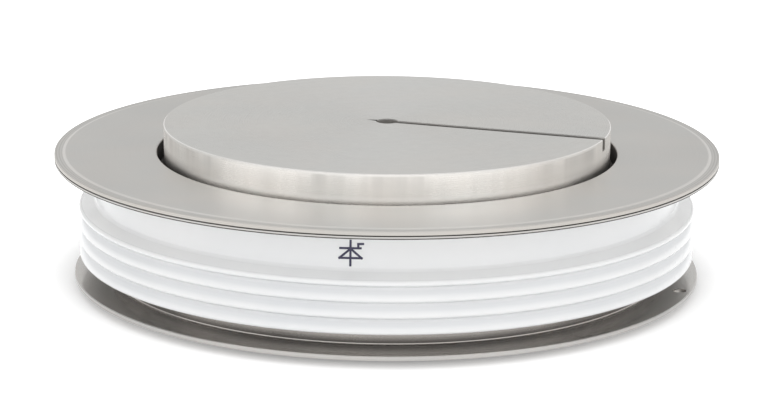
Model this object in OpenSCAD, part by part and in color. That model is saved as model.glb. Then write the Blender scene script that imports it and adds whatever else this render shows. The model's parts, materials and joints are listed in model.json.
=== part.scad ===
// Disc thyristor: a flat ceramic capsule clamped between two heat sinks.
// Millimetres, +Z up, z = 0 on the anode contact face, cathode on top.

/* [Capsule] */
// Height from the anode contact face to the cathode contact face
total_h = 36; // [35:0.5:40]
// Outside diameter of the upper rim, which the whole capsule follows
rim_d = 150; // [120:1:180]
// Height of the anode contact face below the lower flange
foot_h = 1.7; // [1:0.1:2.5]

/* [Contact poles] */
// Gap from the poles' bodies to the bore of the ceramic
chamber_w = 4.5; // [4:0.1:5.5]
// Chamfer on the edges of the poles
pole_edge = 0.15; // [0.1:0.05:0.8]
// Width of the shoulder that each pole is brazed by
shoulder_w = 3; // [2.5:0.1:3.2]
// Height of the anode pole above its flange
anode_body_h = 9.3; // [9:0.1:9.8]
// Height of the cathode pole's wide lower body
cathode_body_h = 7.6; // [7:0.1:8]
// Width of the groove in the cathode face
groove_w = 2.2; // [1.5:0.1:3]
// Depth of the groove in the cathode face
groove_h = 2.7; // [1.5:0.1:3]
// Direction of the groove, in degrees from +X
groove_turn = -18.5; // [-40:0.5:0]
// Length of the groove's pointed run-out past the centre
groove_tail = 5; // [4:0.1:6]
// Diameter of the centring hole in each contact face
centre_hole_d = 5; // [3.4:0.1:5.6]
// Depth of the centring hole in each contact face
centre_hole_h = 5; // [4:0.1:5.5]

/* [Lid and rims] */
// Sheet thickness of the lid
lid_t = 0.9; // [0.7:0.05:1]
// Overhang of the upper rim past the ceramic's smooth band
overhang_w = 9.05; // [7:0.05:11]
// Width of the flat welded rim
rim_w = 1.8; // [1.4:0.1:2.4]
// Width of the step inside the welded rim
joggle_w = 0.6; // [0.4:0.1:1]
// Height of the step inside the welded rim
joggle_h = 0.15; // [0.1:0.05:0.3]
// Fall of the lid from its step to its inner lip
dish_h = 0.6; // [0.3:0.05:0.8]
// Rounding of the lid's inner lip
lip_r = 0.4; // [0.2:0.05:0.6]
// Gap between the cathode pole and the lid's inner wall
moat_w = 1.6; // [1:0.1:1.9]
// Sheet thickness of the upper weld ring
weld_ring_t = 0.8; // [0.6:0.05:0.9]
// Height of the slit between the two sheets at the upper rim
slit_h = 0.2; // [0.1:0.05:0.3]
// Depth of that slit, outside the weld
slit_w = 0.8; // [0.4:0.1:1.2]
// Rise of the upper weld ring outside the ceramic
crank_h = 0.6; // [0.5:0.1:0.9]
// Width of the upper weld ring's braze land on the ceramic
land_w = 6.9; // [5:0.1:7.5]
// Sheet thickness of the lower weld ring and of the anode flange
sheet_t = 0.5; // [0.4:0.05:0.6]
// Overhang of the lower rim past the sheds
lower_overhang_w = 1.2; // [0.8:0.1:3]
// Inset of the neck below the ceramic from the smooth band above
neck_in = 3.05; // [2.5:0.05:3.5]
// Height from the lower weld seam to the ceramic
neck_h = 4.6; // [4.2:0.1:5.4]
// Inside bend radius at both ends of the neck
neck_bend = 0.3; // [0.2:0.1:0.8]
// Width of the lower weld ring's braze land under the ceramic
neck_land_w = 4; // [3:0.1:4.4]
// Chamfer on the outer edges of the rims
rim_edge = 0.15; // [0.1:0.05:0.3]
// Diameter of the hole in the lower flange
tag_hole_d = 3; // [2:0.1:3.2]
// Distance of that hole from the edge of the flange
tag_hole_in = 2.5; // [2.2:0.1:3]
// Direction of that hole, in degrees from +X
tag_hole_turn = -17.8; // [-40:0.1:0]

/* [Ceramic] */
// Height of the ceramic ring
ceramic_h = 21.1; // [20.7:0.1:21.7]
// Wall of the ceramic ring at its smooth upper band
ceramic_wall = 7.95; // [7:0.05:9]
// Depth of the sheds outside the smooth band
shed_w = 3.85; // [3.2:0.05:4.2]
// Number of sheds
shed_n = 4; // [3:1:4]
// Height from one shed to the next
shed_pitch = 3.45; // [3.2:0.05:3.5]
// Radius of the curve on a shed's upper side
shed_curve = 3.1; // [3.1:0.1:5]
// Rounding of a shed's lower edge
shed_edge = 0.6; // [0.4:0.05:0.8]
// Slope of the top shed's ledge, in degrees
ledge_slope = 20; // [15:1:25]
// Rounding of the top shed's crest
crest_r = 0.5; // [0.4:0.1:0.9]
// Fillet where that ledge meets the smooth band
ledge_fillet = 1; // [0.5:0.1:1.4]

/* [Silicon stack] */
// Inset of the silicon wafer and of the anode disc from the poles' bodies
wafer_in = 3.5; // [3:0.1:4]
// Thickness of the silicon wafer
wafer_t = 0.8; // [0.7:0.05:1]
// Width of the bevel on the wafer's rim
wafer_bevel = 0.6; // [0.3:0.1:1]
// Thickness of the molybdenum disc under the wafer
anode_disc_t = 2.5; // [2:0.1:2.6]
// Inset of the molybdenum disc on the wafer from the wafer's edge
cathode_disc_in = 3; // [2.5:0.1:4]
// Thickness of the molybdenum disc on the wafer
cathode_disc_t = 2; // [1.8:0.1:2.2]
// Height of the rubber edge seal above the wafer
seal_h = 1.2; // [0.8:0.1:1.5]
// Width of the edge seal outside the wafer
seal_w = 1.6; // [1.2:0.1:2]
// Height of the centring ring's skirt below the top of the anode pole
skirt_h = 3.5; // [2:0.1:4]

/* [Gate] */
// Height of the gate lead above the ceramic's lower face
lead_h = 15.1; // [14.8:0.1:15.4]
// Diameter of the gate lead
lead_d = 1.2; // [0.8:0.1:1.2]
// Diameter of the sleeve on the gate lead
sleeve_d = 2.4; // [2:0.1:2.4]
// Diameter of the gate bore in the cathode pole
gate_bore_d = 12; // [11:0.1:13]
// Depth of the gate bore in the cathode pole
gate_bore_h = 12.2; // [12:0.1:12.8]
// Wall of the gate bush
bush_wall = 2.3; // [2:0.1:2.4]
// Thickness of the insulating cap above the springs
cap_t = 1.5; // [1:0.1:2]
// Diameter of the gate contact's tip and stem
pin_d = 3; // [2.4:0.1:3.2]
// Height of the gate contact's collar
collar_h = 2.8; // [2.6:0.1:3]
// Sheet thickness of the disc springs
spring_t = 0.4; // [0.3:0.05:0.5]
// Hole in the cathode disc for the gate contact
gate_window_d = 8; // [7:0.1:8.4]

/* [Terminals] */
// Outside diameter of the gate tube
tube_d = 3; // [2.6:0.1:3]
// Length of the gate tube outside the ceramic
tube_out = 7; // [6:0.1:8]
// Depth of the gate tab in the end of the tube
tab_in = 4; // [3:0.1:4.5]
// Width of the gate tab
gate_tab_w = 2.8; // [2.4:0.1:2.8]
// Thickness of both tabs
tab_t = 0.8; // [0.5:0.1:0.8]
// Width of the auxiliary cathode tab
aux_tab_w = 4.8; // [4:0.1:6.3]
// Length of each tab beyond the upper rim
tab_reach = 6; // [5:0.1:6]
// Direction of the auxiliary cathode tab, in degrees from +X
aux_turn = 112; // [105:1:130]
// Hole near the end of each tab
tab_hole_d = 1.3; // [1:0.1:1.6]

/* [Hidden] */
$fn = 96;

fit_gap = 0.2;
slip_gap = 0.1;
cut = 1;
fillet_bite = 0.02;
spring_n = 4;
spring_flat = 0.2;
tab_taper = 0.6;
tab_hole_in = 2.4;

rim_r = rim_d / 2;
band_r = rim_r - overhang_w;
shed_r = band_r + shed_w;
lower_rim_r = shed_r + lower_overhang_w;
tag_hole_r = lower_rim_r - tag_hole_in;
neck_r = band_r - neck_in;
bore_r = band_r - ceramic_wall;
body_r = bore_r - chamber_w;
pole_r = body_r - shoulder_w;
wafer_r = body_r - wafer_in;
cathode_disc_r = wafer_r - cathode_disc_in;
gate_bore_r = gate_bore_d / 2;
tube_r = tube_d / 2;
lead_r = lead_d / 2;
sleeve_r = sleeve_d / 2;
pin_r = pin_d / 2;

seam_z = foot_h + sheet_t;
ceramic_z = seam_z + neck_h;
ceramic_top_z = ceramic_z + ceramic_h;
weld_rim_z = ceramic_top_z + crank_h;
lid_rim_z = weld_rim_z + weld_ring_t;
rim_top_z = lid_rim_z + lid_t;
lip_z = rim_top_z + joggle_h - dish_h;
anode_top_z = seam_z + anode_body_h;
wafer_z = anode_top_z + anode_disc_t;
wafer_top_z = wafer_z + wafer_t;
cathode_z = wafer_top_z + cathode_disc_t;
shoulder_z = cathode_z + cathode_body_h;
lead_z = ceramic_z + lead_h;
gate_top_z = cathode_z + gate_bore_h;
cap_z = gate_top_z - cap_t;
collar_z = lead_z - collar_h / 2;
spring_z = collar_z + collar_h;
spring_pitch = (cap_z - spring_z) / spring_n;

wall_r = pole_r + moat_w;
rim_in_r = rim_r - rim_w;
step_r = rim_in_r - joggle_w;
// The radius at which the dished lid is down to the level of its rim: the upper ring's crank stays outside it.
dish_r = step_r - joggle_h * (step_r - wall_r - lid_t) / dish_h;
crank_r = max(band_r + cut, dish_r + fit_gap - crank_h);
bush_r = gate_bore_r - slip_gap;
bush_in_r = bush_r - bush_wall;
collar_r = bush_in_r - fit_gap;
spring_out_r = collar_r - slip_gap;
spring_in_r = pin_r + fit_gap;
tube_end = band_r + tube_out;
tab_start = tube_end - tab_in;
tab_end = rim_r + tab_reach;

// The section of a flat strip, with chamfers on the lower and the upper edge of its rim.
module strip(r0, r1, z0, t, low, high) {
    polygon([[r0, z0], [r1 - low, z0], [r1, z0 + low], [r1, z0 + t - high], [r1 - high, z0 + t], [r0, z0 + t]]);
}

// A quarter bend of sheet round the centre [r, z], in the quarter that starts at `turn`.
module bend(r, z, inside, t, turn) {
    translate([r, z]) intersection() {
        difference() {
            circle(inside + t);
            circle(inside);
        }
        rotate(turn) square(inside + t + cut);
    }
}

// A round block with chamfered edges.
module block(r, z0, z1, low, high) {
    translate([0, 0, z0 + low]) cylinder(r = r, h = z1 - z0 - low - high);
    if (low > 0) translate([0, 0, z0]) cylinder(r1 = r - low, r2 = r, h = low);
    if (high > 0) translate([0, 0, z1 - high]) cylinder(r1 = r, r2 = r - high, h = high);
}

// The way the gate lead takes out of the gate bore, open below.
module lead_slot() {
    slot_r = sleeve_r + slip_gap;
    translate([0, 0, lead_z]) rotate([-90, 0, 0]) cylinder(r = slot_r, h = body_r + cut);
    translate([-slot_r, 0, cathode_z - cut]) cube([2 * slot_r, body_r + cut, lead_z - cathode_z + cut]);
}

module tag_hole() {
    rotate(tag_hole_turn) translate([tag_hole_r, 0, 0]) cylinder(d = tag_hole_d, h = ceramic_z);
}

module anode_pole() {
    color("silver") difference() {
        union() {
            block(pole_r, 0, seam_z, pole_edge, 0);
            block(body_r, seam_z, anode_top_z, 0, pole_edge);
        }
        translate([0, 0, -cut]) cylinder(d = centre_hole_d, h = centre_hole_h + cut);
    }
}

module anode_flange() {
    color("tan") difference() {
        rotate_extrude() strip(pole_r, lower_rim_r, foot_h, sheet_t, rim_edge, 0);
        tag_hole();
    }
}

module lower_weld_ring() {
    low = seam_z + sheet_t + neck_bend;
    high = ceramic_z - sheet_t - neck_bend;
    land_r = neck_r - sheet_t - neck_bend;
    color("tan") difference() {
        rotate_extrude() {
            strip(neck_r + neck_bend, lower_rim_r, seam_z, sheet_t, 0, rim_edge);
            bend(neck_r + neck_bend, low, neck_bend, sheet_t, 180);
            translate([neck_r - sheet_t, low]) square([sheet_t, high - low]);
            bend(land_r, high, neck_bend, sheet_t, 0);
            translate([neck_r - neck_land_w, ceramic_z - sheet_t]) square([land_r - neck_r + neck_land_w, sheet_t]);
        }
        tag_hole();
    }
}

// A shed with a curved upper side and a flat underside at height z.
module shed(z) {
    difference() {
        intersection() {
            translate([shed_r - shed_curve, z + shed_edge]) circle(shed_curve);
            translate([bore_r, z]) square([shed_r - bore_r, shed_pitch]);
        }
        translate([shed_r - shed_edge, z - cut]) square([2 * shed_edge, shed_edge + cut]);
    }
    translate([shed_r - shed_edge, z + shed_edge]) circle(shed_edge);
}

// The top shed, whose ledge runs straight in to the smooth band.
module top_shed(z) {
    crest_z = z + shed_edge;
    flank_r = shed_r - crest_r + crest_r * sin(ledge_slope);
    flank_z = crest_z + crest_r * cos(ledge_slope);
    foot_z = flank_z + (flank_r - band_r) * tan(ledge_slope);
    reach = ledge_fillet - fillet_bite;
    fillet_z = foot_z + reach / cos(ledge_slope) - reach * tan(ledge_slope);
    toe_r = band_r + reach - reach * sin(ledge_slope);
    toe_z = fillet_z - reach * cos(ledge_slope);
    polygon([[bore_r, z], [shed_r - shed_edge, z], [shed_r - shed_edge, crest_z], [shed_r - crest_r, crest_z],
        [flank_r, flank_z], [band_r, foot_z], [bore_r, foot_z]]);
    translate([shed_r - shed_edge, crest_z]) circle(shed_edge);
    translate([shed_r - crest_r, crest_z]) intersection() {
        circle(crest_r);
        square(crest_r + cut);
    }
    difference() {
        polygon([[bore_r, toe_z], [toe_r, toe_z], [band_r, fillet_z], [bore_r, fillet_z]]);
        translate([band_r + reach, fillet_z]) circle(ledge_fillet);
    }
}

module ceramic_ring() {
    color("white") difference() {
        rotate_extrude() {
            translate([bore_r, ceramic_z]) square([band_r - bore_r, ceramic_h]);
            for (i = [0 : shed_n - 2]) shed(ceramic_z + i * shed_pitch);
            top_shed(ceramic_z + (shed_n - 1) * shed_pitch);
        }
        translate([0, 0, lead_z]) rotate([-90, 0, 0]) cylinder(r = tube_r, h = shed_r);
    }
}

module upper_weld_ring() {
    up_r = crank_r + crank_h;
    color("tan") rotate_extrude() {
        strip(up_r, rim_r, weld_rim_z, weld_ring_t - slit_h, rim_edge, 0);
        translate([up_r, weld_rim_z]) square([rim_r - slit_w - up_r, weld_ring_t]);
        polygon([[band_r - land_w, ceramic_top_z], [crank_r, ceramic_top_z], [up_r, weld_rim_z],
            [up_r, lid_rim_z], [crank_r, ceramic_top_z + weld_ring_t], [band_r - land_w, ceramic_top_z + weld_ring_t]]);
    }
}

module cathode_flange() {
    wall_out_r = wall_r + lid_t;
    step_z = lid_rim_z + joggle_h;
    color("silver") rotate_extrude() {
        strip(rim_in_r, rim_r, lid_rim_z, lid_t, 0, rim_edge);
        polygon([[rim_in_r, lid_rim_z], [rim_in_r, rim_top_z], [step_r, rim_top_z + joggle_h],
            [wall_out_r, lip_z], [wall_out_r, lip_z - lid_t], [step_r, step_z]]);
        translate([wall_r, shoulder_z + lid_t]) square([lid_t, lip_z - lip_r - shoulder_z - lid_t]);
        translate([wall_r + lip_r, lip_z - lid_t]) square([lid_t - lip_r, lid_t]);
        translate([wall_r + lip_r, lip_z - lip_r]) circle(lip_r);
        bend(wall_r, shoulder_z + lid_t, 0, lid_t, 270);
        translate([pole_r, shoulder_z]) square([wall_r - pole_r, lid_t]);
    }
}

module cathode_pole() {
    groove_z = total_h - groove_h;
    color("silver") difference() {
        union() {
            block(body_r, cathode_z, shoulder_z, pole_edge, 0);
            block(pole_r, shoulder_z, total_h, 0, pole_edge);
        }
        rotate(groove_turn) translate([0, 0, groove_z]) linear_extrude(groove_h + cut)
            polygon([[-groove_tail, 0], [0, -groove_w / 2], [pole_r + cut, -groove_w / 2],
                [pole_r + cut, groove_w / 2], [0, groove_w / 2]]);
        translate([0, 0, total_h - centre_hole_h]) cylinder(d = centre_hole_d, h = centre_hole_h + cut);
        translate([0, 0, cathode_z - cut]) cylinder(r = gate_bore_r, h = gate_bore_h + cut);
        lead_slot();
    }
}

module anode_disc() {
    color("dimgray") translate([0, 0, anode_top_z]) cylinder(r = wafer_r, h = anode_disc_t);
}

module silicon_wafer() {
    color("slategray") translate([0, 0, wafer_z]) cylinder(r1 = wafer_r, r2 = wafer_r - wafer_bevel, h = wafer_t);
}

module edge_seal() {
    top_z = wafer_top_z + seal_h;
    in_r = cathode_disc_r + fit_gap;
    out_r = wafer_r + seal_w;
    color("firebrick") rotate_extrude() polygon([[wafer_r, wafer_z], [out_r, wafer_z], [out_r, top_z], [in_r, top_z],
        [in_r, wafer_top_z], [wafer_r - wafer_bevel, wafer_top_z]]);
}

module cathode_disc() {
    color("dimgray") translate([0, 0, wafer_top_z]) difference() {
        cylinder(r = cathode_disc_r, h = cathode_disc_t);
        translate([0, 0, -cut]) cylinder(d = gate_window_d, h = cathode_disc_t + 2 * cut);
    }
}

module centring_ring() {
    in_r = body_r + fit_gap;
    out_r = bore_r - fit_gap;
    color("ivory") rotate_extrude() {
        translate([wafer_r + fit_gap, anode_top_z]) square([out_r - wafer_r - fit_gap, anode_disc_t]);
        translate([in_r, anode_top_z - skirt_h]) square([out_r - in_r, skirt_h]);
    }
}

module gate_bush() {
    color("ivory") difference() {
        translate([0, 0, cathode_z]) cylinder(r = bush_r, h = cap_z - cathode_z);
        translate([0, 0, cathode_z - cut]) cylinder(r = bush_in_r, h = cap_z - cathode_z + 2 * cut);
        lead_slot();
    }
}

module gate_cap() {
    color("ivory") translate([0, 0, cap_z]) cylinder(r = bush_r, h = cap_t);
}

// One disc spring; `over` turns it upside down.
module disc_spring(i, over) {
    base = spring_z + i * spring_pitch + (over ? spring_pitch : 0);
    color("gray") translate([0, 0, base]) mirror([0, 0, over ? 1 : 0]) rotate_extrude()
        polygon([[spring_out_r - spring_flat, 0], [spring_out_r, 0], [spring_out_r, spring_t],
            [spring_in_r + spring_flat, spring_pitch], [spring_in_r, spring_pitch], [spring_in_r, spring_pitch - spring_t]]);
}

module gate_spring_1() {
    disc_spring(0, false);
}

module gate_spring_2() {
    disc_spring(1, true);
}

module gate_spring_3() {
    disc_spring(2, false);
}

module gate_spring_4() {
    disc_spring(3, true);
}

module gate_contact() {
    stem_z = cap_z - cut;
    color("gold") difference() {
        union() {
            translate([0, 0, wafer_top_z]) cylinder(r = pin_r, h = stem_z - wafer_top_z);
            translate([0, 0, collar_z]) cylinder(r = collar_r, h = collar_h);
        }
        translate([0, pin_r, lead_z]) rotate([-90, 0, 0]) cylinder(r = lead_r, h = collar_r);
    }
}

module gate_lead() {
    color("gold") translate([0, pin_r, lead_z]) rotate([-90, 0, 0]) cylinder(r = lead_r, h = tab_start - pin_r);
}

module gate_sleeve() {
    color("white") translate([0, bush_in_r + fit_gap, lead_z]) rotate([-90, 0, 0]) difference() {
        cylinder(r = sleeve_r, h = bore_r - bush_in_r - cut - 2 * fit_gap);
        translate([0, 0, -cut]) cylinder(r = lead_r, h = bore_r);
    }
}

module gate_tube() {
    color("silver") difference() {
        translate([0, bore_r - cut, lead_z]) rotate([-90, 0, 0]) difference() {
            cylinder(r = tube_r, h = tube_end - bore_r + cut);
            translate([0, 0, -cut]) cylinder(r = lead_r + slip_gap, h = tube_end);
        }
        translate([-tube_d, tab_start, lead_z - tab_t / 2]) cube([2 * tube_d, tab_in + cut, tab_t]);
    }
}

// A flat push-on tab from y = start to y = tab_end, at height z, with a tapered tip.
module tab(start, w, z) {
    translate([0, 0, z]) linear_extrude(tab_t) difference() {
        polygon([[-w / 2, start], [w / 2, start], [w / 2, tab_end - 2 * tab_taper], [w / 2 - tab_taper, tab_end],
            [tab_taper - w / 2, tab_end], [-w / 2, tab_end - 2 * tab_taper]]);
        translate([0, tab_end - tab_hole_in]) circle(d = tab_hole_d);
    }
}

module gate_tab() {
    color("silver") tab(tab_start, gate_tab_w, lead_z - tab_t / 2);
}

module cathode_tab() {
    color("silver") rotate(aux_turn - 90) tab(crank_r + crank_h + fit_gap, aux_tab_w, weld_rim_z - tab_t);
}

anode_pole();
anode_flange();
lower_weld_ring();
ceramic_ring();
upper_weld_ring();
cathode_flange();
cathode_pole();
anode_disc();
silicon_wafer();
edge_seal();
cathode_disc();
centring_ring();
gate_bush();
gate_cap();
gate_spring_1();
gate_spring_2();
gate_spring_3();
gate_spring_4();
gate_contact();
gate_lead();
gate_sleeve();
gate_tube();
gate_tab();
cathode_tab();
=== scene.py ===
import json
import math
import bpy
from mathutils import Matrix, Vector


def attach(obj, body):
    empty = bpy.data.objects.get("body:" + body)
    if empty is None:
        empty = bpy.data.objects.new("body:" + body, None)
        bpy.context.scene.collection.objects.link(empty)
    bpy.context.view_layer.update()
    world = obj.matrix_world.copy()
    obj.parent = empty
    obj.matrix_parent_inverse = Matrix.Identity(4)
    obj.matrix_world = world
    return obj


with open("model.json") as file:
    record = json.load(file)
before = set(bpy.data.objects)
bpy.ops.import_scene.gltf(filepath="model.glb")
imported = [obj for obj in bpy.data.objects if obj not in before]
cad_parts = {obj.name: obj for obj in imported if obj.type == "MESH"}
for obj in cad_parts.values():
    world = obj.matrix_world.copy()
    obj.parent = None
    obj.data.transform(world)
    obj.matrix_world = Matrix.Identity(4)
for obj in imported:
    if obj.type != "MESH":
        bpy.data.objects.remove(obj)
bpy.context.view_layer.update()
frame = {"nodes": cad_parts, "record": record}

MM = 0.001
scene = bpy.context.scene

# Radii and heights of the CAD model that the finishes and the mark follow.
POLE_R = 50.5 * MM
POLE_TOP = 36.0 * MM
HOLE_R = 2.5 * MM
TAIL_R = 7.6 * MM
WALL_R = 52.1 * MM
LIP_Z = 29.75 * MM
RIM_R = 75.0 * MM
LID_RIM_Z = 29.3 * MM
WELD_RIM_Z = 28.5 * MM
BAND_R = 65.95 * MM
CERAMIC_Z = 6.8 * MM
SHED_PITCH = 3.45 * MM
NECK_R = 62.9 * MM
FLANGE_TOP = 2.7 * MM
LOWER_RIM_R = 71.0 * MM

# Noise: the range that most of its values lie in, and the scales of the marks it makes on metal.
NOISE_LOW, NOISE_MEAN, NOISE_HIGH = 0.3, 0.5, 0.7
FINE_RINGS, BROAD_RINGS = 9000.0, 1600.0
STRAIGHT_MARKS = 420.0
CLOUDS = 38.0
BLUSH = 70.0
SPECKS = 3200.0

# Metal: how far the marks change its roughness, how much they shade and raise it, and the
# values between which the shade turns from dark to light.
RING_SPREAD, CLOUD_SPREAD = 0.04, 0.03
RING_SHADE, CLOUD_SHADE = 0.5, 0.6
BROAD_LIFT, FINE_LIFT, SPECK_LIFT = 0.7, 0.5, 0.15
SHADE_DARK, SHADE_LIGHT = 0.15, 0.45
BLUSH_TINTS = [(0.35, (0.993, 1.0, 1.003)), (0.65, (1.007, 0.998, 0.992))]

# The pole's side: its streaks of painted reflection and painted shade, from which values on they
# are light or dark, how many lobes of painted reflection they gather in and where the first one
# lies.
PAINTED_STREAKS = 170.0
PAINTED_STREAK_LIGHT = (0.54, 0.74)
PAINTED_STREAK_DARK = (0.46, 0.26)
PAINTED_LOBES = 6.0
PAINTED_LOBE_TURN = math.radians(25.0)
PAINTED_LOBE_WEIGHT = 0.18

# The lid's rim: the distance between the fine rings in it, and between which values of their
# wave they fade in.
RIM_RING_PITCH = 0.62 * MM
RIM_RING_FADE = (-0.2, 0.8)

# Glaze: its colours, its waves and orange peel, and the painted shade and painted light on a
# shed, from the shed's lower edge to its upper end: painted light at the crest, painted shade on
# the upper side, painted light in the notch under the shed above. From LEDGE_Z up the tone stays
# as it is there.
GLAZE = [(NOISE_LOW, (0.86, 0.87, 0.88)), (NOISE_HIGH, (0.89, 0.895, 0.90))]
GLAZE_CLOUDS = 35.0
GLAZE_WAVES = 90.0
GLAZE_PEEL = 900.0
PEEL_LIFT = 0.15
LEDGE_Z = CERAMIC_Z + 3.36 * SHED_PITCH
PAINTED_SHED_SHADE_AND_LIGHT = [
    (0.0, (1.05, 1.05, 1.05)),
    (0.22, (1.055, 1.055, 1.055)),
    (0.36, (1.0, 1.0, 1.0)),
    (0.55, (0.896, 0.901, 0.907)),
    (0.72, (0.9, 0.904, 0.91)),
    (0.86, (1.08, 1.08, 1.08)),
]

# Moulded and printed finishes: grain, and the shades of the colour that it has.
GRAIN = 900.0
GRAIN_DARK, GRAIN_LIGHT = 0.9, 1.08


class Tree:
    """The node tree of a material or a world, with short calls to add nodes and link them."""

    def __init__(self, owner, output):
        owner.use_nodes = True
        self.owner = owner
        self.nodes = owner.node_tree.nodes
        self.links = owner.node_tree.links
        self.nodes.clear()
        self.out = self.nodes.new("ShaderNodeOutput" + output)

    def add(self, kind, settings=None, **inputs):
        """A node; inputs are named as its sockets, or i0, i1 and so on for sockets by number."""
        node = self.nodes.new("ShaderNode" + kind)
        for key, value in (settings or {}).items():
            setattr(node, key, value)
        for key, value in inputs.items():
            by_number = key[1:].isdigit()
            socket = node.inputs[int(key[1:]) if by_number else key.replace("_", " ")]
            if isinstance(value, bpy.types.NodeSocket):
                self.links.new(value, socket)
            elif socket.type == "RGBA":
                socket.default_value = (*value, 1.0)
            else:
                socket.default_value = value
        return node

    def math(self, operation, a, b=0.0, c=0.0):
        return self.add("Math", {"operation": operation}, i0=a, i1=b, i2=c).outputs[0]

    def vector(self, operation, output, a, b=(0.0, 0.0, 0.0)):
        return self.add("VectorMath", {"operation": operation}, i0=a, i1=b).outputs[output]

    def both(self, *masks):
        """1 where all the masks are 1."""
        mask = masks[0]
        for other in masks[1:]:
            mask = self.math("MULTIPLY", mask, other)
        return mask

    def total(self, *parts):
        """The sum of values with their weights."""
        total = 0.0
        for value, weight in parts:
            total = self.math("MULTIPLY_ADD", value, weight, total)
        return total

    def noise(self, vector, scale, detail=2.0):
        return self.add("TexNoise", None, Vector=vector, Scale=scale, Detail=detail).outputs["Fac"]

    def lines(self, w, scale, detail=3.0):
        """Noise along one length: the marks that turning leaves."""
        node = self.add("TexNoise", {"noise_dimensions": "1D"}, W=w, Scale=scale, Detail=detail)
        return node.outputs["Fac"]

    def span(self, value, at0, at1, low=0.0, high=1.0):
        """`low` where value is at0, `high` where it is at1, and neither passed beyond them."""
        node = self.add("MapRange", None, Value=value, From_Min=at0, From_Max=at1,
                        To_Min=low, To_Max=high)
        return node.outputs["Result"]

    def near(self, value, edge, at0, at1, low=0.0, high=1.0):
        """The same, with at0 and at1 given in mm from an edge."""
        return self.span(value, edge + at0 * MM, edge + at1 * MM, low, high)

    def vary(self, noise, middle, spread):
        """A value that a noise moves up and down."""
        return self.span(noise, NOISE_LOW, NOISE_HIGH, middle - spread, middle + spread)

    def ramp(self, fac, stops):
        node = self.add("ValToRGB", None, Fac=fac)
        elements = node.color_ramp.elements
        while len(elements) < len(stops):
            elements.new(0.5)
        for element, (at, color) in zip(elements, stops):
            element.position = at
            element.color = (*color, 1.0)
        return node.outputs["Color"]

    def rgb(self, color):
        """A colour that nodes can be laid over."""
        node = self.add("RGB")
        node.outputs[0].default_value = (*color, 1.0)
        return node.outputs[0]

    def mix(self, fac, a, b, blend="MIX"):
        settings = {"data_type": "RGBA", "blend_type": blend}
        return self.add("Mix", settings, Factor=fac, i6=a, i7=b).outputs[2]

    def tone(self, base, tones):
        return self.mix(1.0, base, tones, "MULTIPLY")

    def seen(self):
        """1 for rays that look at a thing, directly or by way of a glossy or clear surface."""
        rays = self.add("LightPath").outputs
        onward = self.math("MAXIMUM", rays["Is Glossy Ray"], rays["Is Transmission Ray"])
        return self.math("MAXIMUM", rays["Is Camera Ray"], onward)

    def surface(self, base, roughness, height, strength, depth, **more):
        """A surface with bumps up to `depth` deep."""
        bump = self.add("Bump", None, Strength=strength, Distance=depth, Height=height)
        return self.add("BsdfPrincipled", None, Base_Color=base, Roughness=roughness,
                        Normal=bump.outputs[0], **more)

    def done(self, shader):
        self.links.new(shader.outputs[0], self.out.inputs["Surface"])
        return self.owner


class Turned(Tree):
    """A material's tree with the coordinates of a turned piece: place, radius, height, length
    along its section and distance aside from its middle plane."""

    def __init__(self, name):
        super().__init__(bpy.data.materials.new(name), "Material")
        self.at = self.add("TexCoord").outputs["Object"]
        self.x, self.y, self.z = self.add("SeparateXYZ", None, Vector=self.at).outputs
        self.flat = self.add("CombineXYZ", None, X=self.x, Y=self.y).outputs[0]
        self.r = self.vector("LENGTH", "Value", self.flat)
        self.along = self.math("ADD", self.r, self.z)
        self.aside = self.math("ABSOLUTE", self.x)


def metal(name, color, rough, zones=None, tint=0.015, mark=0.12, turned=1.0, brush=0.0):
    """Turned or rolled metal with cloudy plating. tint is how far its shade goes and mark how
    strong its relief is; turned and brush weigh the ring marks and the straight marks across
    them. zones(tree) gives rows of (mask, color, extra roughness) that lie over the plain finish,
    the later ones over the earlier ones."""
    t = Turned(name)
    fine = t.lines(t.along, FINE_RINGS)
    broad = t.math("MULTIPLY", t.lines(t.along, BROAD_RINGS), turned)
    straight = t.noise(t.flat, STRAIGHT_MARKS, detail=4.0)
    cloud = t.noise(t.at, CLOUDS, detail=4.0)
    base = t.rgb(color)
    roughness = t.math("ADD", t.vary(fine, rough, RING_SPREAD), t.vary(cloud, 0.0, CLOUD_SPREAD))
    for mask, over, duller in (zones(t) if zones else []):
        base = t.mix(mask, base, over)
        roughness = t.math("MULTIPLY_ADD", mask, duller, roughness)
    marks_mean = NOISE_MEAN * (RING_SHADE * turned + brush)
    shade = t.total((broad, RING_SHADE), (straight, brush), (cloud, CLOUD_SHADE))
    shade = t.math("SUBTRACT", shade, marks_mean)
    dark, light = [1 - 2 * tint] * 3, [1 + 2 * tint] * 3
    base = t.tone(base, t.ramp(shade, [(SHADE_DARK, dark), (SHADE_LIGHT, light)]))
    base = t.tone(base, t.ramp(t.noise(t.at, BLUSH), BLUSH_TINTS))
    speck = t.noise(t.at, SPECKS)
    height = t.total((broad, BROAD_LIFT), (fine, FINE_LIFT), (speck, SPECK_LIFT))
    more = {"Metallic": 1.0}
    if brush:
        ring = t.add("Tangent", {"direction_type": "RADIAL", "axis": "Z"}).outputs[0]
        more.update(Anisotropic=0.5, Tangent=ring)
    return t.done(t.surface(base, roughness, height, strength=mark, depth=0.02 * MM, **more))


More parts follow.
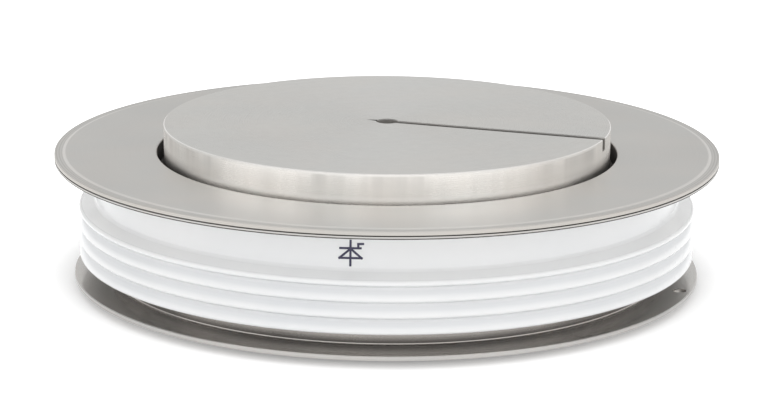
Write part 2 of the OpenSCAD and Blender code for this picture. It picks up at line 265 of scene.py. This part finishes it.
def ceramic(name):
    """White glazed alumina: faint waves and orange peel in the glaze, with painted shade on the
    sheds' upper sides and painted light at their crests and in the notches between them."""
    t = Turned(name)
    wave = t.noise(t.at, GLAZE_WAVES)
    peel = t.noise(t.at, GLAZE_PEEL)
    base = t.ramp(t.noise(t.at, GLAZE_CLOUDS, detail=3.0), GLAZE)
    up = t.math("SUBTRACT", t.math("MINIMUM", t.z, LEDGE_Z), CERAMIC_Z)
    on_shed = t.math("FRACT", t.math("DIVIDE", up, SHED_PITCH))
    # Painted light at the crests and in the notches, painted shade on the sheds' upper sides.
    base = t.tone(base, t.ramp(on_shed, PAINTED_SHED_SHADE_AND_LIGHT))
    height = t.total((wave, 1.0), (peel, PEEL_LIFT))
    roughness = t.vary(peel, middle=0.175, spread=0.045)
    return t.done(t.surface(base, roughness, height, strength=0.2, depth=0.05 * MM,
                            Subsurface_Weight=0.4, Subsurface_Radius=(1.0, 1.0, 1.0),
                            Subsurface_Scale=1.0 * MM))


def plain(name, color, rough):
    """A moulded or printed finish."""
    t = Turned(name)
    grain = t.noise(t.at, GRAIN, detail=3.0)
    dark = [c * GRAIN_DARK for c in color]
    light = [min(1.0, c * GRAIN_LIGHT) for c in color]
    base = t.ramp(grain, [(NOISE_LOW, dark), (NOISE_HIGH, light)])
    roughness = t.vary(grain, rough, spread=0.05)
    return t.done(t.surface(base, roughness, grain, strength=0.1, depth=0.03 * MM))


def pole_zones(t):
    """A side painted lighter than the top, with streaks and lobes of painted reflection and
    painted shade, painted light just above the lip with painted shade beside it at the sides, a
    painted highlight along the top edge that painted shade dims in front, painted highlights on
    the rims of the groove and holes, and painted shade inside them and in the moat."""
    inside = t.near(t.r, POLE_R, -0.08, -0.2)
    side = t.math("SUBTRACT", 1.0, inside)
    upper = t.both(side, t.near(t.z, POLE_TOP / 2, 0.0, 2.0))
    depth = t.math("MINIMUM", t.math("SUBTRACT", POLE_TOP, t.z), t.z)
    turn = t.math("ARCTAN2", t.x, t.math("MULTIPLY", t.y, -1.0))
    painted_lobe = t.math("COSINE", t.math("MULTIPLY", t.math("SUBTRACT", turn, PAINTED_LOBE_TURN), PAINTED_LOBES))
    painted_streak = t.math("MULTIPLY_ADD", painted_lobe, PAINTED_LOBE_WEIGHT, t.noise(t.flat, PAINTED_STREAKS, detail=2.5))
    light = t.both(side, t.span(painted_streak, *PAINTED_STREAK_LIGHT))
    dark = t.both(side, t.span(painted_streak, *PAINTED_STREAK_DARK))
    dim = t.both(dark, t.near(t.z, POLE_TOP, -3.6, -0.6))
    # Painted light just above the lip, and painted shade beside it at the sides.
    foot = t.both(upper, t.near(t.z, LIP_Z, 1.4, 0.5))
    shaded = t.both(upper, t.near(t.aside, 0.0, 38.0, 46.0), t.near(t.z, LIP_Z, 2.4, 0.4))
    # Painted highlight along the top edge of the side, dimmed in front and brighter at the sides.
    painted_edge_highlight = t.both(side, t.near(depth, 0.0, 0.75, 0.3))
    chamfer = t.both(side, t.near(depth, 0.0, 0.16, 0.12))
    bright_edge = t.both(painted_edge_highlight, t.near(t.aside, 0.0, 15.0, 42.0))
    painted_rim_highlight = t.both(inside, t.near(depth, 0.0, 0.02, 0.06))
    in_groove = t.both(inside, t.near(depth, 0.0, 0.2, 0.3))
    in_hole = t.both(in_groove, t.near(t.r, HOLE_R, 0.3, 0.15))
    tail = t.both(t.near(t.r, TAIL_R, 0.2, 0.0), t.near(t.x, -HOLE_R, 0.25, 0.0))
    in_tail = t.both(tail, painted_rim_highlight)
    in_moat = t.both(upper, t.near(t.z, LIP_Z, -0.8, -2.5))
    return [
        # The side is painted lighter than the top; its light and dark streaks are painted
        # reflection and painted shade, gathered in lobes, and the dark ones are darker still near
        # the top.
        (side, (0.88, 0.857, 0.828), 0.0),
        (light, (0.97, 0.944, 0.915), -0.04),
        (dark, (0.8, 0.779, 0.751), 0.02),
        (dim, (0.66, 0.643, 0.62), 0.0),
        # Painted light on the side just above the lip, and painted shade beside it at the sides.
        (foot, (0.99, 0.968, 0.94), 0.12),
        (shaded, (0.66, 0.642, 0.62), 0.0),
        # A painted highlight along the top edge, dimmed by painted shade on the chamfer and
        # brighter at the sides.
        (painted_edge_highlight, (0.88, 0.864, 0.84), 0.0),
        (chamfer, (0.54, 0.529, 0.514), 0.05),
        (bright_edge, (0.86, 0.844, 0.823), 0.0),
        # A painted highlight on the upper walls of the groove and holes.
        (painted_rim_highlight, (0.82, 0.805, 0.78), 0.3),
        # Painted shade deeper in the groove and holes, in the hole's tail and in the moat.
        (in_groove, (0.32, 0.306, 0.292), 0.1),
        (in_hole, (0.46, 0.44, 0.42), 0.1),
        (in_tail, (0.12, 0.115, 0.11), 0.0),
        (in_moat, (0.14, 0.133, 0.126), 0.2),
    ]


def lid_zones(t):
    """A painted highlight along the rim's ridge, fine rings outside it, a sheared edge with its
    colour darkened as painted shade and a dark seam under it, a painted reflection at the mouth of
    the moat, painted shade in the moat at the sides, and painted shade on the wall in the moat."""
    ring = t.both(t.near(t.r, RIM_R, -2.7, -2.4), t.near(t.r, RIM_R, -1.7, -1.9))
    wave = t.math("SINE", t.math("MULTIPLY", t.r, 2 * math.pi / RIM_RING_PITCH))
    rolled = t.both(t.near(t.r, RIM_R, -1.8, -1.5), t.span(wave, *RIM_RING_FADE))
    edge = t.near(t.r, RIM_R, -0.16, -0.08)
    seam = t.both(t.near(t.r, RIM_R, -0.9, -0.7), t.near(t.z, LID_RIM_Z, 0.1, 0.06))
    in_moat = t.near(t.r, WALL_R, 0.7, 0.3)
    mouth = t.both(in_moat, t.near(t.z, LIP_Z, -0.1, -0.4))
    shaded = t.both(in_moat, t.near(t.aside, 0.0, 38.0, 47.0), t.near(t.z, LIP_Z, -0.15, -0.6))
    wall = t.both(in_moat, t.near(t.z, LIP_Z, -1.0, -2.4))
    return [
        # A painted highlight along the rim's ridge.
        (ring, (0.63, 0.615, 0.59), 0.0),
        (rolled, (0.46, 0.448, 0.425), 0.05),
        # The sheared edge, its colour darkened as painted shade.
        (edge, (0.47, 0.452, 0.425), 0.1),
        (seam, (0.08, 0.075, 0.07), 0.2),
        # A painted reflection at the mouth of the moat, painted shade in the moat at the sides,
        # and painted shade on its wall.
        (mouth, (0.82, 0.8, 0.77), 0.2),
        (shaded, (0.2, 0.19, 0.18), 0.0),
        (wall, (0.14, 0.133, 0.126), 0.2),
    ]


def sheet_zones(t):
    """Sheet with a painted dark reflection on the flange near the neck, most of all in front and
    behind, a darker neck with painted shade at its foot and a painted highlight at its bend,
    sheared rims with their colour darkened as painted shade, a dark seam above the upper one and
    painted shade along its lower edge."""
    under_lid = t.near(t.z, WELD_RIM_Z, -2.5, -1.5)
    low = t.near(t.z, FLANGE_TOP, 2.3, 1.3)
    middle = t.near(t.aside, 0.0, 29.0, 53.0, 1.0, 0.36)
    # Painted dark reflection on the flange near the neck.
    root = t.both(low, middle, t.near(t.r, NECK_R, 7.2, 1.6))
    neck = t.both(t.near(t.r, NECK_R, 0.2, 0.05), t.near(t.z, CERAMIC_Z, 1.2, 0.2))
    neck_foot = t.both(neck, t.near(t.z, FLANGE_TOP, 1.7, 0.7))
    bend = t.both(t.near(t.z, FLANGE_TOP, 0.4, 0.28), t.near(t.r, NECK_R, 0.6, 0.35))
    low_edge = t.both(low, t.near(t.r, LOWER_RIM_R, -0.16, -0.08))
    high_edge = t.near(t.r, RIM_R, -0.16, -0.08)
    outer = t.near(t.r, RIM_R, -1.0, -0.8)
    # Painted shade along the lower edge of the upper rim.
    painted_underside_shade = t.both(outer, t.near(t.z, WELD_RIM_Z, 0.28, 0.22))
    seam = t.both(outer, t.near(t.z, WELD_RIM_Z, 0.6, 0.64))
    return [
        (under_lid, (0.7, 0.69, 0.67), 0.1),
        # A painted dark reflection on the flange near the neck.
        (root, (0.08, 0.074, 0.069), 0.0),
        (neck, (0.44, 0.42, 0.4), 0.05),
        # Painted shade at the neck's foot and a painted highlight at its bend.
        (neck_foot, (0.25, 0.236, 0.223), 0.0),
        (bend, (0.6, 0.57, 0.54), 0.1),
        # The sheared rims, their colour darkened as painted shade.
        (low_edge, (0.44, 0.427, 0.413), 0.05),
        (high_edge, (0.45, 0.44, 0.425), 0.1),
        # Painted shade along the lower edge of the upper rim.
        (painted_underside_shade, (0.06, 0.056, 0.052), 0.2),
        (seam, (0.08, 0.075, 0.07), 0.2),
    ]


LOOKS = {
    "nickel_plate": metal("nickel_plate", (0.60, 0.592, 0.567), 0.30, pole_zones,
                          mark=0.05, turned=0.15, brush=0.5),
    "lid_sheet": metal("lid_sheet", (0.54, 0.53, 0.508), 0.36, lid_zones,
                       tint=0.025, turned=0.15),
    "sheet_metal": metal("sheet_metal", (0.535, 0.518, 0.495), 0.21, sheet_zones),
    "glazed_alumina": ceramic("glazed_alumina"),
    "molybdenum": metal("molybdenum", (0.40, 0.40, 0.41), 0.4),
    "silicon": metal("silicon", (0.30, 0.31, 0.34), 0.15),
    "silicone_rubber": plain("silicone_rubber", (0.35, 0.06, 0.04), 0.6),
    "insulating_plastic": plain("insulating_plastic", (0.85, 0.84, 0.80), 0.5),
    "spring_steel": metal("spring_steel", (0.5, 0.5, 0.5), 0.3),
    "gate_metal": metal("gate_metal", (0.80, 0.60, 0.25), 0.3),
    "tinned_terminal": metal("tinned_terminal", (0.60, 0.595, 0.58), 0.33),
    "marking_ink": plain("marking_ink", (0.034, 0.032, 0.072), 0.5),
}
SLOT_OF = {s["node"]: s["material_slot"] for s in frame["record"]["subparts"]}
for name, obj in frame["nodes"].items():
    obj.data.materials.clear()
    obj.data.materials.append(LOOKS[SLOT_OF[name]])


def add_object(name, data):
    obj = bpy.data.objects.new(name, data)
    scene.collection.objects.link(obj)
    return obj


# The printed mark on the smooth band: the general circuit symbol of a thyristor, from strokes
# given in mm as (arc length from the mark's middle, height). Each stretch lies a little above the
# one before, so that no two share a place.
MARK_TURN = math.radians(-96.5)
MARK_STROKE = 0.46
MARK_STEP = 0.2
MARK_LIFT = 0.01
MARK_LAYER = 0.001
STROKES = [
    [(0.2, 25.73), (0.16, 20.52)],
    [(-1.92, 24.1), (2.26, 24.2)],
    [(0.21, 24.06), (-2.1, 22.02), (2.47, 22.09), (0.21, 24.06)],
    [(1.78, 24.18), (1.78, 25.09), (2.74, 25.12)],
]


def band_point(arc, z, lift):
    """A point on the smooth band, from lengths in mm."""
    turn = MARK_TURN + arc * MM / BAND_R
    r = BAND_R + lift * MM
    return (r * math.cos(turn), r * math.sin(turn), z * MM)


def stroke_mesh(strokes):
    """Flat strips along the strokes, with square ends, bent round the band."""
    verts, faces = [], []
    lift = MARK_LIFT
    for line in strokes:
        for (a0, z0), (a1, z1) in zip(line, line[1:]):
            lift += MARK_LAYER
            length = math.hypot(a1 - a0, z1 - z0)
            along = ((a1 - a0) / length, (z1 - z0) / length)
            across = (-along[1] * MARK_STROKE / 2, along[0] * MARK_STROKE / 2)
            start, stop = -MARK_STROKE / 2, length + MARK_STROKE / 2
            n = max(2, round((stop - start) / MARK_STEP))
            first = len(verts)
            for i in range(n + 1):
                s = start + (stop - start) * i / n
                a, z = a0 + along[0] * s, z0 + along[1] * s
                for side in (-1, 1):
                    verts.append(band_point(a + side * across[0], z + side * across[1], lift))
            for i in range(n):
                k = first + 2 * i
                faces.append((k, k + 2, k + 3, k + 1))
    mesh = bpy.data.meshes.new("symbol_mark")
    mesh.from_pydata(verts, [], faces)
    mesh.update()
    return mesh


mark = add_object("symbol_mark", stroke_mesh(STROKES))
mark.data.materials.append(LOOKS["marking_ink"])
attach(mark, "root")


# The camera, as fitted to the photograph: its lens in pixels of the photograph's width, its
# place in metres and its angles in degrees.
PHOTO_WIDTH = 773.0
LENS_PX = 2700.0
SENSOR_WIDTH = 36.0
CAMERA_AT = (0.0, -0.596833, 0.170594)
CAMERA_DOWN = 14.594
CAMERA_ROLL = 0.468

camera = add_object("camera", bpy.data.cameras.new("camera"))
camera.data.sensor_width = SENSOR_WIDTH
camera.data.lens = LENS_PX / PHOTO_WIDTH * SENSOR_WIDTH
camera.data.clip_start = 0.01
camera.matrix_world = (Matrix.Translation(CAMERA_AT)
                       @ Matrix.Rotation(math.radians(90.0 - CAMERA_DOWN), 4, "X")
                       @ Matrix.Rotation(math.radians(CAMERA_ROLL), 4, "Z"))
scene.camera = camera


# The floor is white where it is seen, apart from a soft round shade under the part.
FLOOR_Z = -0.05 * MM
FLOOR_HALF = 4.0
FLOOR_GLOW = 0.6
PAPER = [(NOISE_LOW, (0.89, 0.89, 0.89)), (NOISE_HIGH, (0.91, 0.91, 0.91))]
PAPER_CLOUDS = 40.0
SHADE_AT = (0.0, 8.0 * MM, 0.0)
SHADE_FULL_R, SHADE_END_R = 64.0 * MM, 87.0 * MM


def floor_material():
    t = Tree(bpy.data.materials.new("floor"), "Material")
    at = t.add("TexCoord").outputs["Object"]
    paper = t.ramp(t.noise(at, PAPER_CLOUDS, detail=4.0), PAPER)
    diffuse = t.add("BsdfDiffuse", None, Color=paper)
    from_shade = t.vector("SUBTRACT", "Vector", at, SHADE_AT)
    open_floor = t.span(t.vector("LENGTH", "Value", from_shade), SHADE_FULL_R, SHADE_END_R)
    strength = t.math("MULTIPLY", t.both(t.seen(), open_floor), FLOOR_GLOW)
    glow = t.add("Emission", None, Strength=strength)
    t.owner.cycles.emission_sampling = "NONE"
    return t.done(t.add("AddShader", None, i0=diffuse.outputs[0], i1=glow.outputs[0]))


corners = [(-1, -1), (1, -1), (1, 1), (-1, 1)]
mesh = bpy.data.meshes.new("floor")
mesh.from_pydata([(x * FLOOR_HALF, y * FLOOR_HALF, FLOOR_Z) for x, y in corners],
                 [], [(0, 1, 2, 3)])
mesh.materials.append(floor_material())
floor = add_object("floor", mesh)


# The room: white where it is seen, and a little less bright as a light.
ROOM_LIGHT, ROOM_SEEN = 0.82, 1.0

room = Tree(bpy.data.worlds.new("studio"), "World")
level = room.span(room.seen(), 0.0, 1.0, ROOM_LIGHT, ROOM_SEEN)
scene.world = room.done(room.add("Background", None, Strength=level))


LAMP_REACH = 1.6
LAMP_AIM = Vector((0.0, 0.0, 0.02))


def softbox(name, turn, height, size, glow, reach=LAMP_REACH):
    """A rectangular lamp, turned in degrees round from the front; glow is how bright it looks,
    where 1 is white."""
    light = bpy.data.lights.new(name, "AREA")
    light.shape = "RECTANGLE"
    light.size, light.size_y = size
    light.energy = glow * math.pi * size[0] * size[1]
    turn = math.radians(turn)
    place = Vector((reach * math.sin(turn), -reach * math.cos(turn), height))
    facing = (LAMP_AIM - place).to_track_quat("-Z", "Y").to_matrix().to_4x4()
    lamp = add_object(name, light)
    lamp.matrix_world = Matrix.Translation(place) @ facing
    lamp.visible_camera = False


softbox("overhead", 180.0, 2.0, (3.0, 3.0), 0.5, reach=0.1)
softbox("front", -8.0, 0.55, (1.9, 1.3), 0.55)
softbox("left", -66.0, 0.55, (1.4, 1.3), 0.54)
softbox("right", 48.0, 0.55, (1.4, 1.3), 0.62)
softbox("right_side", 92.0, 0.55, (1.2, 1.3), 0.25)
softbox("rear_left", -140.0, 0.4, (1.5, 0.8), 0.2)
softbox("rear_right", 140.0, 0.4, (1.5, 0.8), 0.2)

scene.view_settings.view_transform = "Standard"
